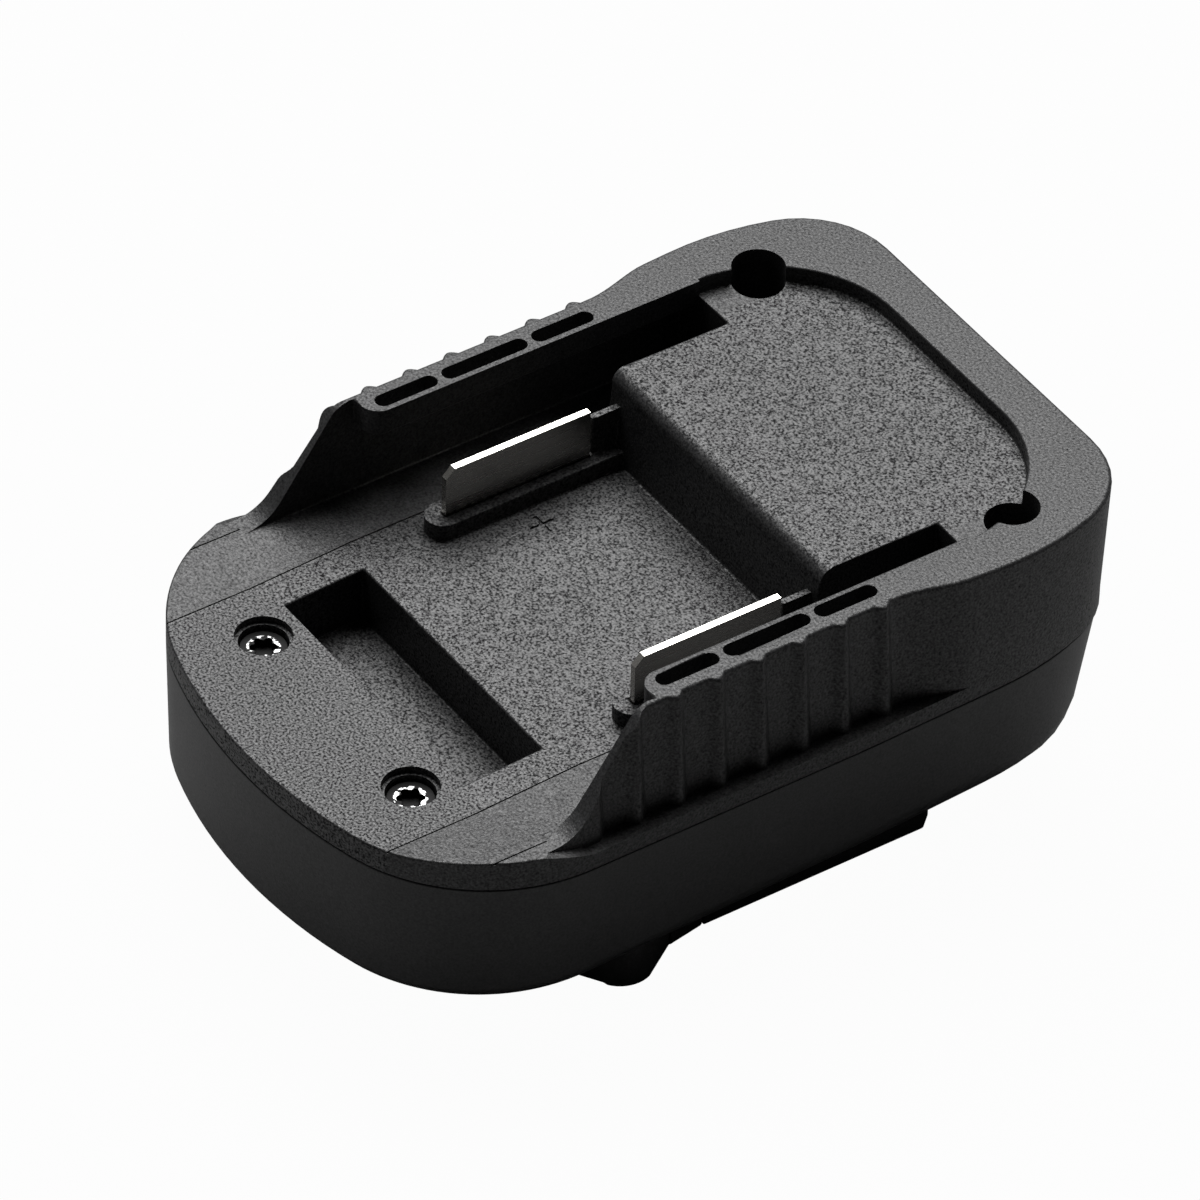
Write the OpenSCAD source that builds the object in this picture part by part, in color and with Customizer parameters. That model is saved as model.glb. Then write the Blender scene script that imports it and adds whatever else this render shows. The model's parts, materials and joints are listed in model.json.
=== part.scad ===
// Battery adapter for cordless tools: a slide-on battery goes into the bay on top,
// and the foot underneath slides into the tool.
// Millimetres, +Z up, +Y the way the battery slides in, origin under the middle of the case.

/* [Case] */
// Width of the case at the parting line
case_w = 70.3; // [69.5:0.1:74]
// Length of the case from nose to rear edge
case_l = 103.2; // [102:0.1:108]
// Radius of the nose's front arc
nose_r = 68; // [50:1:90]
// Radius of the nose's corners
nose_corner_r = 22.7; // [20:0.1:25]
// Radius of the long taper towards the rear
rear_taper_r = 40; // [34:0.5:44]
// Angle through which that taper turns
rear_taper_angle = 20.6; // [17:0.1:24]
// Radius of the rear corners
rear_corner_r = 12.9; // [11:0.1:14]
// Wall of the shells
wall_t = 2.2; // [1.8:0.1:2.6]
// Height of the lower shell, without the tool foot
lower_h = 17.2; // [16:0.1:20]
// Radius of the lower shell's bottom edge at the nose
nose_edge_r = 1.3; // [0.8:0.1:2.5]
// Radius of the lower shell's bottom edge at the rear
rear_edge_r = 6; // [3:0.1:6.5]
// Lean of the lower shell's rear wall, in degrees
rear_rake = 10; // [5:0.5:12]
// Distance from the rear edge at which that lean begins
rake_run = 14.7; // [13:0.1:18]
// Step in from the upper to the lower shell at the rear
rear_step = 0.3; // [0.1:0.05:0.6]
// Draft of the lower shell's other walls, in degrees
lower_draft = 1.2; // [0.5:0.1:2]
// Inward lean of the upper shell's rear, from the rim down to the parting line
rear_lean = 0.65; // [0.2:0.05:1]
// Distance from the rear edge at which that lean begins
lean_start = 45.5; // [40:0.1:48]
// Distance from the rear edge at which that lean is complete
lean_end = 16.6; // [12:0.1:20]
// Inward draft of the rear sides up to the rim
side_draft = 2.15; // [1.2:0.05:2.5]
// Distance from the rear edge at which that draft begins to fade
draft_start = 35.6; // [32:0.1:38]
// Distance from the rear edge at which that draft is gone
draft_end = 1.4; // [1:0.1:4]
// Radius along the top of the rim
rim_r = 0.5; // [0.3:0.1:1]

/* [Battery bay] */
// Height of the skirt above the parting line
skirt_h = 2.4; // [1.6:0.1:2.8]
// Height of the nose deck above the parting line
deck_h = 3.4; // [3.4:0.1:5]
// Rise of the bay floor above the nose deck
floor_rise = 0.7; // [0.3:0.1:1.2]
// Height of the rim above the bay floor
bay_h = 13.7; // [12.5:0.1:16]
// Clear gap between the lips
lip_gap = 54.4; // [53:0.1:56]
// Clear width of the rail grooves under the lips
groove_w = 62; // [60.5:0.1:62.6]
// Thickness of the lips
lip_t = 3.5; // [2.5:0.1:4.5]
// Distance of the lips' front ends from the nose
lip_front = 35.15; // [34.7:0.05:37]
// Lead-in radius at the front of the lips
lip_lead_r = 2.5; // [1:0.25:3]
// Distance of the ramps' feet from the nose
ramp_foot = 20.15; // [18.7:0.05:20.7]
// Slope of the ramps, in degrees
ramp_angle = 55; // [50:1:65]
// Hollow radius at the foot of the ramps
ramp_foot_r = 6; // [3:0.5:8]
// Round radius at the top of the ramps
ramp_top_r = 3.5; // [1.5:0.25:5]
// Thickness of the bay floor
floor_t = 2.5; // [2:0.1:3]

/* [Flutes] */
// Ridges on each side wall
ridge_count = 9; // [7:1:9]
// Distance from ridge to ridge
ridge_pitch = 5.69; // [5:0.01:5.8]
// Width of one ridge at the skirt
ridge_w = 3.4; // [2.6:0.1:3.8]
// Width of one ridge at the rim
ridge_top_w = 2.1; // [1.6:0.1:2.6]
// Distance of the first ridge from the nose
ridge_first = 26.15; // [25.7:0.05:27]
// Wall between groove and flute
flute_wall_t = 0.7; // [0.6:0.05:1]
// Height of the ridges at the rim
ridge_top_h = 0.7; // [0.3:0.05:0.9]
// Height of the ridges at the skirt
ridge_base_h = 1.15; // [1:0.05:1.6]
// Length of the swell behind the last ridge
bulge_l = 9.5; // [8:0.1:10]
// Draft of the fluted walls from the ledge to the rim
wall_draft = 0.85; // [0.5:0.05:1.2]
// Length over which the ledge below the flutes rises to the deck
ledge_run = 7; // [5:0.1:9]

/* [Lip slots] */
// Width of the slots
slot_w = 2.15; // [1.6:0.05:2.4]
// Material between lip edge and slot
slot_edge = 0.65; // [0.5:0.05:1]
// Length of the two outer slots
slot_l = 8.4; // [7:0.1:9]
// Length of the middle slot
slot_mid_l = 11.65; // [9:0.05:13]
// Rib between two slots
slot_rib = 0.85; // [0.7:0.05:1.4]
// Distance of the first slot from the front of the lip
slot_first = 1.65; // [1.2:0.05:2]

/* [Platform] */
// Width of the platform between the side notches
platform_w = 42.6; // [40:0.1:44]
// Length of the bay from the nose to the platform's front face
bay_l = 64.65; // [63:0.05:66]
// Lean of the platform's front face, forward at its foot
platform_lean = 0.85; // [0.4:0.05:0.95]
// Drop of the platform below the rim
platform_drop = 2.2; // [1.4:0.1:3]
// Radius along the platform's front edge
platform_edge_r = 1.8; // [0.8:0.1:2]
// Distance of the notches' rear ends from the rear screws
notch_gap = 7.35; // [6.5:0.05:9]
// Width of the recess inside the rim
recess_w = 55.2; // [54:0.1:57]
// Width of the rim at the rear
rim_w = 6.05; // [5.5:0.05:8]
// Corner radius of the recess
recess_r = 16.5; // [12:0.5:18]

/* [Latch pocket] */
// Width of the pocket
pocket_w = 37; // [34:0.1:38]
// Length of the pocket
pocket_l = 10.8; // [9:0.1:11.5]
// Distance of the pocket from the nose
pocket_front = 17.65; // [17:0.05:18.5]
// Depth of the pocket
pocket_d = 7; // [5:0.1:7.5]
// Wall round the pocket
pocket_wall = 1.6; // [1.2:0.1:1.8]

/* [Blades] */
// Distance between the two blades
blade_pitch = 39; // [38:0.1:40]
// Thickness of the blades
blade_t = 0.85; // [0.6:0.05:1.2]
// Length of the blades in the bay
blade_l = 20.1; // [18:0.1:21]
// Height of the blades above the bay floor
blade_h = 8.75; // [7:0.05:9.5]
// Chamfer at the front of the blades
blade_chamfer = 1.2; // [0.5:0.1:2]
// Gap from blade to platform
blade_gap = 4.4; // [3.5:0.1:5]
// Height of the bottom flange that holds a blade in
blade_flange_h = 1.8; // [1.2:0.1:2.4]
// Reach of that flange past the blade at each end
blade_flange_reach = 1.5; // [0.8:0.1:2]
// Length of the solder tail below the flange
blade_tail_l = 4; // [3.6:0.1:4.4]
// Width of the solder tail
blade_tail_w = 4; // [3:0.1:5]
// Width of the raised base round each blade
base_w = 4.4; // [3.6:0.1:5]
// Height of that base
base_h = 2.2; // [1.4:0.1:3]
// Length of the base ahead of the blade
base_reach = 2.3; // [1.6:0.1:3]
// Height of the web behind each blade
web_h = 7.6; // [5:0.1:8.5]
// Thickness of that web
web_t = 0.8; // [0.6:0.1:1.2]

/* [Marks] */
// Span of the polarity marks
mark_span = 3.3; // [2.4:0.1:4]
// Stroke of the polarity marks
mark_stroke = 0.5; // [0.3:0.05:0.8]
// Depth of the polarity marks and of the fine floor lines
mark_depth = 0.25; // [0.15:0.05:0.4]
// Distance of the marks from the blades
mark_inset = 5.6; // [5:0.1:6.4]
// Width of the fine lines along the floor
line_w = 0.2; // [0.15:0.05:0.4]
// Distance of the fine lines from the middle plane
line_x = 23.2; // [22.5:0.1:24]
// Distance of the outer fine lines from the middle
edge_line_x = 32; // [31.5:0.1:32.6]

/* [Case screws] */
// Distance between the front screws
front_screw_pitch = 30.8; // [29:0.1:32]
// Distance of the front screws from the nose
front_screw_y = 12.75; // [12:0.05:13]
// Distance between the rear screws
rear_screw_pitch = 51.4; // [50.5:0.1:52]
// Distance of the rear screws from the rear edge
rear_screw_y = 14.9; // [14.5:0.05:15.5]
// Radius of the screw heads
head_r = 2.75; // [2.4:0.05:2.9]
// Height of the screw heads
head_h = 1.9; // [1.5:0.1:2.2]
// Depth of the front heads below the deck
head_sink = 1.7; // [1.2:0.1:2]
// Radius of the screw shanks
shank_r = 1.45; // [1.2:0.05:1.6]
// Length of the screw shanks
shank_l = 11; // [9:0.1:11.8]
// Radius of the six-lobe socket
socket_r = 1.7; // [1.3:0.05:1.9]
// Radius of one lobe, as a share of the socket's radius
lobe_share = 0.3; // [0.24:0.01:0.32]
// Radius between the lobes, as a share of the socket's radius
waist_share = 0.72; // [0.66:0.01:0.8]
// Depth of the six-lobe socket
socket_d = 1.2; // [0.8:0.1:1.4]
// Radius of the front screw recesses at the deck
recess_hole_r = 3.45; // [3.3:0.05:3.8]
// Depth of the wide step in the front recesses
recess_step = 0.9; // [0.5:0.1:1.1]
// Radius of the rear screw holes
rear_hole_r = 3.25; // [3.1:0.05:3.5]
// Radius of the screw bosses in the lower shell
boss_r = 3; // [2.6:0.1:3.2]

/* [Tool foot] */
// Width of the foot
foot_w = 55; // [53:0.1:56]
// Length of the foot
foot_l = 31.65; // [31:0.05:34]
// Height of the foot
foot_h = 7.6; // [7.4:0.1:9]
// Distance of the foot's front face from the nose
foot_front = 45.55; // [44.7:0.05:46.5]
// Lead-in at the rear end of the foot
foot_lead = 0.6; // [0.3:0.1:1]
// Height of that lead-in
foot_lead_h = 1.8; // [1.2:0.1:2.4]
// Height of the rail slots in the foot's sides
rail_slot_h = 3.2; // [2.4:0.1:3.8]
// Depth of the rail slots
rail_slot_d = 2.8; // [2:0.1:3.2]
// Thickness of the flange below the rail slots
rail_flange_t = 3; // [2.4:0.1:3.6]

/* [Terminal block] */
// Width of the block
block_w = 29; // [28:0.1:30]
// Length of the block
block_l = 16; // [15:0.1:17]
// Flange of the block on the shell's floor, height
block_flange_h = 2; // [1.5:0.1:2.4]
// Flange of the block, reach to front and rear
block_flange_reach = 4.2; // [4:0.1:4.6]
// Set-back of the block from the bottom of the foot
block_setback = 1.2; // [0.6:0.1:2]
// Rear wall of the foot behind the block
block_rear_t = 4; // [3.6:0.1:4.4]
// Distance between the two clips
clip_pitch = 18; // [16:0.1:19]
// Width of a clip
clip_w = 4; // [3.6:0.1:4.6]
// Thickness of the clip strip
clip_t = 0.6; // [0.4:0.05:0.8]
// Length of a clip
clip_l = 11; // [9:0.1:12]
// Height of a clip
clip_h = 5.6; // [4.5:0.1:6]
// Width of the clip tail
clip_tail_w = 3; // [2:0.1:4]
// Width of the tool blade slots in the foot
tool_slot_w = 2; // [1.6:0.1:2.4]

/* [Circuit board] */
// Width of the board
board_w = 42; // [41:0.1:42.6]
// Reach of the board ahead of the leads' ends
board_front = 4.4; // [3.6:0.1:5]
// Thickness of the board
board_t = 1.6; // [1.2:0.1:2]
// Height of the board above the shell's floor
board_lift = 6.4; // [6:0.1:7]
// Distance of the board's rear end from the rear edge
board_rear = 10.15; // [9.8:0.05:11]
// Radius of the board's posts
post_r = 2.4; // [2:0.1:2.6]
// Distance of the posts from the board's long edges
post_edge = 2.8; // [2.6:0.1:3.2]
// Distance of the front posts behind the leads' ends
post_front = 6; // [5:0.1:7]
// Distance of the rear posts from the board's rear end
post_rear = 3.6; // [3:0.1:5]
// Radius of the small screws' shanks
small_shank_r = 1; // [0.8:0.05:1.1]
// Radius of the small screws' heads
small_head_r = 1.9; // [1.6:0.05:2.1]
// Height of the small screws' heads
small_head_h = 1.3; // [1:0.1:1.4]
// Length of the small screws' shanks
small_shank_l = 4.6; // [4.2:0.1:5]
// Socket of the small screws, as a share of their heads
small_socket_share = 0.6; // [0.5:0.05:0.7]
// Radius of the capacitor
capacitor_r = 4; // [3:0.25:5]
// Height of the capacitor
capacitor_h = 12; // [8:0.5:14]
// Side of a power transistor
transistor_w = 6.6; // [6:0.1:7]
// Height of a power transistor
transistor_h = 2.3; // [1.8:0.1:2.6]
// Length of the control chip
chip_l = 5; // [4:0.1:6]
// Width of the control chip
chip_w = 4; // [3:0.1:5]
// Height of the control chip
chip_h = 1.5; // [1:0.1:2]
// Length of the shunt resistor
shunt_l = 6.4; // [5:0.1:7]
// Width of the shunt resistor
shunt_w = 3.2; // [2.4:0.1:4]
// Height of the shunt resistor
shunt_h = 0.8; // [0.5:0.1:1.2]
// Radius of the leads
lead_r = 1; // [0.7:0.05:1.1]
// Straight run of the leads behind the blades' tails
lead_run = 6; // [5:0.1:7]
// Bend radius of the leads
lead_bend = 2.2; // [1.8:0.1:2.4]

/* [Blade retainer] */
// Width of the retainer plate
retainer_w = 48; // [46:0.1:50]
// Thickness of the retainer plate
retainer_t = 2; // [1.6:0.1:2.2]
// Reach of the retainer past the blade flanges
retainer_reach = 0.8; // [0.4:0.1:1]
// Distance between its screws across the plate
retainer_screw_x = 24; // [20:0.5:28]
// Distance between its screws along the plate
retainer_screw_y = 16; // [14:0.5:18]

/* [Release tabs] */
// Inward travel of each tab
tab_travel = 3; // [2:0.1:3.2]
// Radius of the finger pad
pad_r = 4.2; // [3.6:0.1:4.8]
// Distance of the pad's centre from the side of the case
pad_inset = 7.45; // [6.8:0.05:8]
// Distance of the pad's centre ahead of the foot
pad_ahead = 11.9; // [11:0.1:12.5]
// Inner end of the tab's body from the middle plane
tab_inner = 15; // [14.5:0.1:16]
// Distance of the tab's front end ahead of the pad's centre
tab_front = 8.7; // [7.5:0.1:9.5]
// Setback of the tab's front corner from the pad's centre
front_setback = 5.7; // [5:0.1:6.5]
// Setback of the tab's rear corner from the pad's centre
rear_setback = 2.8; // [2.4:0.1:3.6]
// Distance of the catch's front corner ahead of the foot
catch_ahead = 5.3; // [4.6:0.1:5.8]
// Reach of the catch past the foot's side
catch_proud = 1.1; // [0.8:0.1:1.5]
// Reach of the catch's rear end past the foot's side
catch_end = 0.3; // [0.1:0.1:0.6]
// Lift of the tab above the foot's bottom face
tab_lift = 0.4; // [0.2:0.1:0.8]
// Length of the stem along the travel
stem_l = 6; // [5:0.1:6.5]
// Width of the stem across the travel
stem_w = 6; // [5:0.1:7]
// Clearance of the tab's sliding faces
slide_clear = 0.3; // [0.2:0.05:0.4]
// Overlap of the keeper round its slot
keeper_lap = 1; // [0.8:0.1:1.4]
// Thickness of the keeper plate
keeper_t = 2; // [1.6:0.1:2.4]
// Height of the keeper's spring wall
keeper_wall_h = 5.6; // [5:0.1:6.5]
// Thickness of the keeper's spring wall
keeper_wall_t = 2; // [1.6:0.1:2.2]
// Half width of the rib between the two springs
spring_rib = 3; // [2.5:0.1:3.5]
// Mean radius of the springs
spring_r = 1.8; // [1.6:0.05:2]
// Radius of the spring wire
spring_wire_r = 0.25; // [0.2:0.01:0.3]
// Turns of each spring
spring_turns = 5; // [4:1:6]
// Radius of the pegs inside the springs
peg_r = 1.2; // [0.9:0.05:1.25]
// Length of the pegs
peg_l = 1.2; // [0.8:0.1:1.4]

/* [Fits] */
// Gap round a fixed piece in its seat
fit_clear = 0.1; // [0.05:0.05:0.2]
// Gap round a screw shank in its own thread hole
thread_clear = 0.05; // [0.02:0.01:0.08]
// Gap round a screw shank in a through hole
hole_clear = 0.25; // [0.15:0.05:0.4]

/* [Hidden] */
$fn = 48;
eps = 0.01;
over = 1;

// Levels
z_case = foot_h;
z_inner = z_case + wall_t;
z_part = z_case + lower_h;
z_ledge = z_part + skirt_h;
z_deck = z_part + deck_h;
z_floor = z_deck + floor_rise;
z_under = z_floor - floor_t;
z_rim = z_floor + bay_h;
z_platform = z_rim - platform_drop;
z_seat = z_deck - head_sink - head_h;
z_pocket = z_deck - pocket_d;
z_boss = z_pocket - pocket_wall - fit_clear;
z_flange = z_under - blade_flange_h;
z_retainer = z_flange - retainer_t;
z_board = z_inner + board_lift;
z_board_top = z_board + board_t;
z_keeper = z_inner + slide_clear;

// Places along the case
y_nose = -case_l / 2;
y_rear = case_l / 2;
y_platform = y_nose + bay_l;
y_notch = y_rear - rear_screw_y - notch_gap;
y_lip = y_nose + lip_front;
y_blade_end = y_platform - blade_gap;
y_blade = y_blade_end - blade_l;
y_blade_mid = (y_blade + y_blade_end) / 2;
y_pocket = y_nose + pocket_front;
y_foot = y_nose + foot_front;
y_foot_end = y_foot + foot_l;
y_pad = y_foot - pad_ahead;
y_block_end = y_foot_end - block_rear_t;
y_block_mid = y_block_end - block_l / 2;
y_lead = y_blade_mid + blade_tail_w / 2 + lead_run + lead_bend;
y_board = y_lead - board_front;
y_board_end = y_rear - board_rear;
y_ridge = y_nose + ridge_first;

// Places across the case
half_w = case_w / 2;
groove_x = groove_w / 2;
lip_x = lip_gap / 2;
platform_x = platform_w / 2;
blade_x = blade_pitch / 2;
valley_x = groove_x + flute_wall_t;
crest_base_x = valley_x + wall_draft + ridge_base_h;
crest_top_x = valley_x + ridge_top_h;
pad_x = half_w - pad_inset;
catch_x = foot_w / 2 + catch_proud;
cavity_inset = half_w - valley_x + wall_t - flute_wall_t;

// Steps of the curved stretches
nose_steps = 8;
corner_steps = 24;
side_steps = 5;
taper_steps = 5;
rear_steps = 8;
fillet_steps = 4;
ramp_steps = 8;
ridge_steps = 5;
bulge_steps = 10;
min_edge_r = 0.3;

FRONT_SCREWS = [for (s = [-1, 1]) [s * front_screw_pitch / 2, y_nose + front_screw_y]];
REAR_SCREWS = [for (s = [-1, 1]) [s * rear_screw_pitch / 2, y_rear - rear_screw_y]];
POSTS = [for (s = [-1, 1], y = [y_lead + post_front, y_board_end - post_rear])
    [s * (board_w / 2 - post_edge), y]];
RETAINER_SCREWS = [for (s = [-1, 1], t = [-1, 1])
    [s * retainer_screw_x / 2, y_blade_mid + t * retainer_screw_y / 2]];
BLOCK_SCREWS = [for (t = [-1, 1]) [0, y_block_mid + t * (block_l + block_rear_t) / 2]];

// Points on an arc, without its last point
function arc(centre, r, from, to, steps) =
    [for (i = [0:steps - 1]) let (a = from + (to - from) * i / steps) centre + r * [cos(a), sin(a)]];

function clamp01(t) = min(max(t, 0), 1);
function ease(t) = let (u = clamp01(t)) u * u * (3 - 2 * u);

// Outline of the case: front arc, nose corner, straight side, taper and rear corner
nose_turn = asin((half_w - nose_corner_r) / (nose_r - nose_corner_r));
nose_centre = [0, y_nose + nose_r];
corner_centre = [half_w - nose_corner_r, nose_centre.y - (nose_r - nose_corner_r) * cos(nose_turn)];
taper_y = y_rear - rear_corner_r - (rear_taper_r - rear_corner_r) * sin(rear_taper_angle);
taper_centre = [half_w - rear_taper_r, taper_y];
rear_centre = taper_centre
    + (rear_taper_r - rear_corner_r) * [cos(rear_taper_angle), sin(rear_taper_angle)];

function nose_points(inset) = concat(
    arc(nose_centre, nose_r - inset, -90, -90 + nose_turn, nose_steps),
    arc(corner_centre, nose_corner_r - inset, -90 + nose_turn, 0, corner_steps),
    [corner_centre + [nose_corner_r - inset, 0]]);
function side_points(inset) = [for (i = [1:side_steps])
    [half_w - inset, corner_centre.y + (taper_y - corner_centre.y) * i / (side_steps + 1)]];
function rear_points(inset) = concat(
    arc(taper_centre, rear_taper_r - inset, 0, rear_taper_angle, taper_steps),
    arc(rear_centre, rear_corner_r - inset, rear_taper_angle, 90, rear_steps),
    [rear_centre + [0, rear_corner_r - inset]]);
function mirrored(half) = concat(half,
    [for (i = [len(half) - 1:-1:0]) if (abs(half[i].x) > eps) [-half[i].x, half[i].y]]);
function case_outline(inset) = mirrored(concat(nose_points(inset), side_points(inset), rear_points(inset)));

// The rear leans in from the rim down, and the sides ahead of it lean in from the skirt up
REAR = rear_points(0);
REAR_IN = rear_points(1) - REAR;
function lean_share(y) = ease((y - y_rear + lean_start) / (lean_start - lean_end));
function draft_share(y) = clamp01((y - y_rear + draft_start) / (draft_start - draft_end));
function draw(y, t) = side_draft * t * (1 - draft_share(y)) + rear_lean * (1 - t) * lean_share(y);
function drawn_rear(t, inset) =
    [for (i = [0:len(REAR) - 1]) REAR[i] + (draw(REAR[i].y, t) + inset) * REAR_IN[i]];

// Fluted side: middle of each ridge, with shares of its half width
ridge_room = taper_y - bulge_l - ridge_w / 2 - y_ridge;
ridges = min(ridge_count, floor(ridge_room / ridge_pitch) + 1);
SIDE = [for (k = [0:ridges - 1], i = [-ridge_steps:ridge_steps])
    if (k > 0 || i >= 0) [y_ridge + k * ridge_pitch, i / ridge_steps]];
y_bulge = y_ridge + (ridges - 1) * ridge_pitch + ridge_w / 2;
BULGE = [for (i = [1:bulge_steps]) i / bulge_steps];

// A ridge is half round at the rim and runs out in hollows at the skirt
function ridge_share(u, t) = t * cos(90 * u) + (1 - t) * (1 + cos(180 * u)) / 2;
function ridge_y(p, t) = p[0] + p[1] * (ridge_w + (ridge_top_w - ridge_w) * t) / 2;

// Half outline above the skirt at a share t of the height up to the rim, drawn in by inset
function wall_half(t, inset) =
    let (crest = crest_base_x + (crest_top_x - crest_base_x) * t - inset)
    let (valley = valley_x + wall_draft * (1 - t) - inset)
    concat(
        [for (p = nose_points(eps + inset)) [min(p.x, crest), p.y]],
        [for (p = SIDE) [valley + (crest - valley) * ridge_share(p[1], t), ridge_y(p, t)]],
        [for (u = BULGE) let (y = y_bulge + u * bulge_l)
            [valley + (half_w - draw(y, t) - inset - valley) * ease(u), y]],
        drawn_rear(t, inset));

// Half outline of the skirt with a point beside each point of the wall
SKIRT = concat(
    nose_points(0),
    [for (p = SIDE) let (y = ridge_y(p, 0)) [half_w - draw(y, 0), y]],
    [for (u = BULGE) let (y = y_bulge + u * bulge_l) [half_w - draw(y, 0), y]],
    drawn_rear(0, 0));

// Towards the nose the ledge between the skirt and the wall rises to the deck
function lift(p, top) = z_ledge + clamp01((corner_centre.y - p.y) / ledge_run) * (top - z_ledge);
function at_height(half, z) = [for (p = mirrored(half)) [p.x, p.y, z]];
function skirt_top(half) =
    [for (p = mirrored(half)) [p.x, p.y, lift(p, z_floor + over / 4)]];
function wall_foot(half) =
    [for (p = mirrored(half)) [p.x, p.y, lift(p, z_floor + over / 2)]];

// Faces between rings of n points, and closed solids through such rings from the lowest up
function ring_sides(n, last) = [for (i = [0:last - 1], j = [0:n - 1]) let (k = (j + 1) % n)
    each [[i * n + j, (i + 1) * n + j, (i + 1) * n + k], [i * n + j, (i + 1) * n + k, i * n + k]]];

module coil(rings) {
    n = len(rings[0]);
    last = len(rings) - 1;
    caps = [[for (j = [0:n - 1]) j], [for (j = [n - 1:-1:0]) last * n + j]];
    polyhedron([for (ring = rings) each ring], concat(caps, ring_sides(n, last)));
}

// The rings of the shells are mirror images left and right, so their ends close in strips across
function strip(n, i) = i == 0 ? [[0, 1, n - 1]] : [[i, i + 1, n - i - 1], [i, n - i - 1, n - i]];
module loft(rings) {
    n = len(rings[0]);
    last = len(rings) - 1;
    low = [for (i = [0:(n - 1) / 2 - 1]) each strip(n, i)];
    high = [for (t = low) [for (v = [2:-1:0]) last * n + t[v]]];
    polyhedron([for (ring = rings) each ring], concat(low, ring_sides(n, last), high));
}

// Bar across the case with a side outline given as [y, z] points
module across(width, points) {
    translate([-width / 2, 0, 0])
        rotate([90, 0, 90])
            linear_extrude(width)
                polygon(points);
}

module block(low, high) {
    translate(low)
        cube(high - low);
}

module both_sides() {
    children();
    mirror([1, 0, 0])
        children();
}

// Body of the upper shell before anything is cut from it
module upper_body() {
    top = z_rim - rim_r;
    loft(concat(
        [at_height(SKIRT, z_part), skirt_top(SKIRT), wall_foot(wall_half(0, 0))],
        [for (i = [0:fillet_steps]) let (a = 90 * i / fillet_steps)
            at_height(wall_half(1, rim_r * (1 - cos(a))), top + rim_r * sin(a))]));
}

// Floor of the bay from the nose to a given end, as [y, z] points, and the space above it
floor_start = y_nose + front_screw_y + recess_hole_r;
floor_end = y_pocket + pocket_l + pocket_wall;
function floor_line(end, drop) = [
    [y_nose - over, z_deck - drop], [floor_start, z_deck - drop],
    [floor_end, z_floor - drop], [end, z_floor - drop]];
function above_floor(end, drop) =
    concat(floor_line(end, drop), [[end, z_rim + over], [y_nose - over, z_rim + over]]);
PLATFORM_FACE = [
    [y_platform - platform_lean, z_floor],
    [y_platform, z_platform - platform_edge_r], [y_platform, z_rim + over]];

// Side outline of the ramps: hollow foot, straight slope and round top
y_ramp = y_nose + ramp_foot;
ramp_rise = z_rim - z_floor;
ramp_straight = ramp_rise - (ramp_foot_r + ramp_top_r) * (1 - cos(ramp_angle));
y_ramp_top = y_ramp + (ramp_foot_r + ramp_top_r) * sin(ramp_angle) + ramp_straight / tan(ramp_angle);
RAMP = concat(
    [[y_nose - over, z_floor]],
    arc([y_ramp, z_floor + ramp_foot_r], ramp_foot_r, -90, -90 + ramp_angle, ramp_steps),
    [[y_ramp, z_floor + ramp_foot_r] + ramp_foot_r * [sin(ramp_angle), -cos(ramp_angle)]],
    [for (i = [ramp_steps:-1:0]) let (a = ramp_angle * i / ramp_steps)
        [y_ramp_top, z_rim - ramp_top_r] + ramp_top_r * [-sin(a), cos(a)]],
    [[y_ramp_top, z_rim + over], [y_nose - over, z_rim + over]]);

// The deck beside the fine lines rises to its outer strips
module deck_side() {
    hull()
        for (y = [y_nose - over, floor_start, floor_end], z = [z_floor, z_floor + over]) {
            translate([line_x - over, y, z])
                cube([groove_x - line_x + over, eps, eps]);
            if (y < floor_end)
                translate([line_x - over, y, z_deck])
                    cube([over, eps, eps]);
        }
}

module bay_cuts() {
    across(case_w + 2 * over, RAMP);
    across(2 * line_x, above_floor(y_lip, 0));
    across(lip_gap, concat([[y_lip - over, z_floor]], PLATFORM_FACE, [[y_lip - over, z_rim + over]]));
    both_sides() {
        deck_side();
        block([line_x - over, y_nose - over, z_floor], [groove_x, y_lip, z_rim + over]);
        block([platform_x, y_lip - over, z_floor], [groove_x, y_notch, z_rim - lip_t]);
        block([platform_x, y_platform - over, z_floor], [lip_x, y_notch, z_rim + over]);
        translate([lip_x, y_lip, z_rim - lip_t - over])
            linear_extrude(lip_t + 2 * over)
                difference() {
                    translate([-over, -over])
                        square(lip_lead_r + over);
                    translate([lip_lead_r, lip_lead_r])
                        circle(lip_lead_r);
                }
        lip_slots();
    }
}

SLOTS = [slot_l, slot_mid_l, slot_l];
module lip_slots() {
    x = lip_x + slot_edge + slot_w / 2;
    for (i = [0:len(SLOTS) - 1]) {
        start = y_lip + slot_first + i * slot_rib + (i > 0 ? SLOTS[0] : 0) + (i > 1 ? SLOTS[1] : 0);
        translate([x, start, z_rim - lip_t - over])
            linear_extrude(lip_t + 2 * over)
                union() {
                    translate([0, slot_w / 2])
                        circle(slot_w / 2);
                    translate([0, SLOTS[i] - slot_w / 2])
                        circle(slot_w / 2);
                    translate([-slot_w / 2, slot_w / 2])
                        square([slot_w, SLOTS[i] - slot_w]);
                }
    }
}

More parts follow.
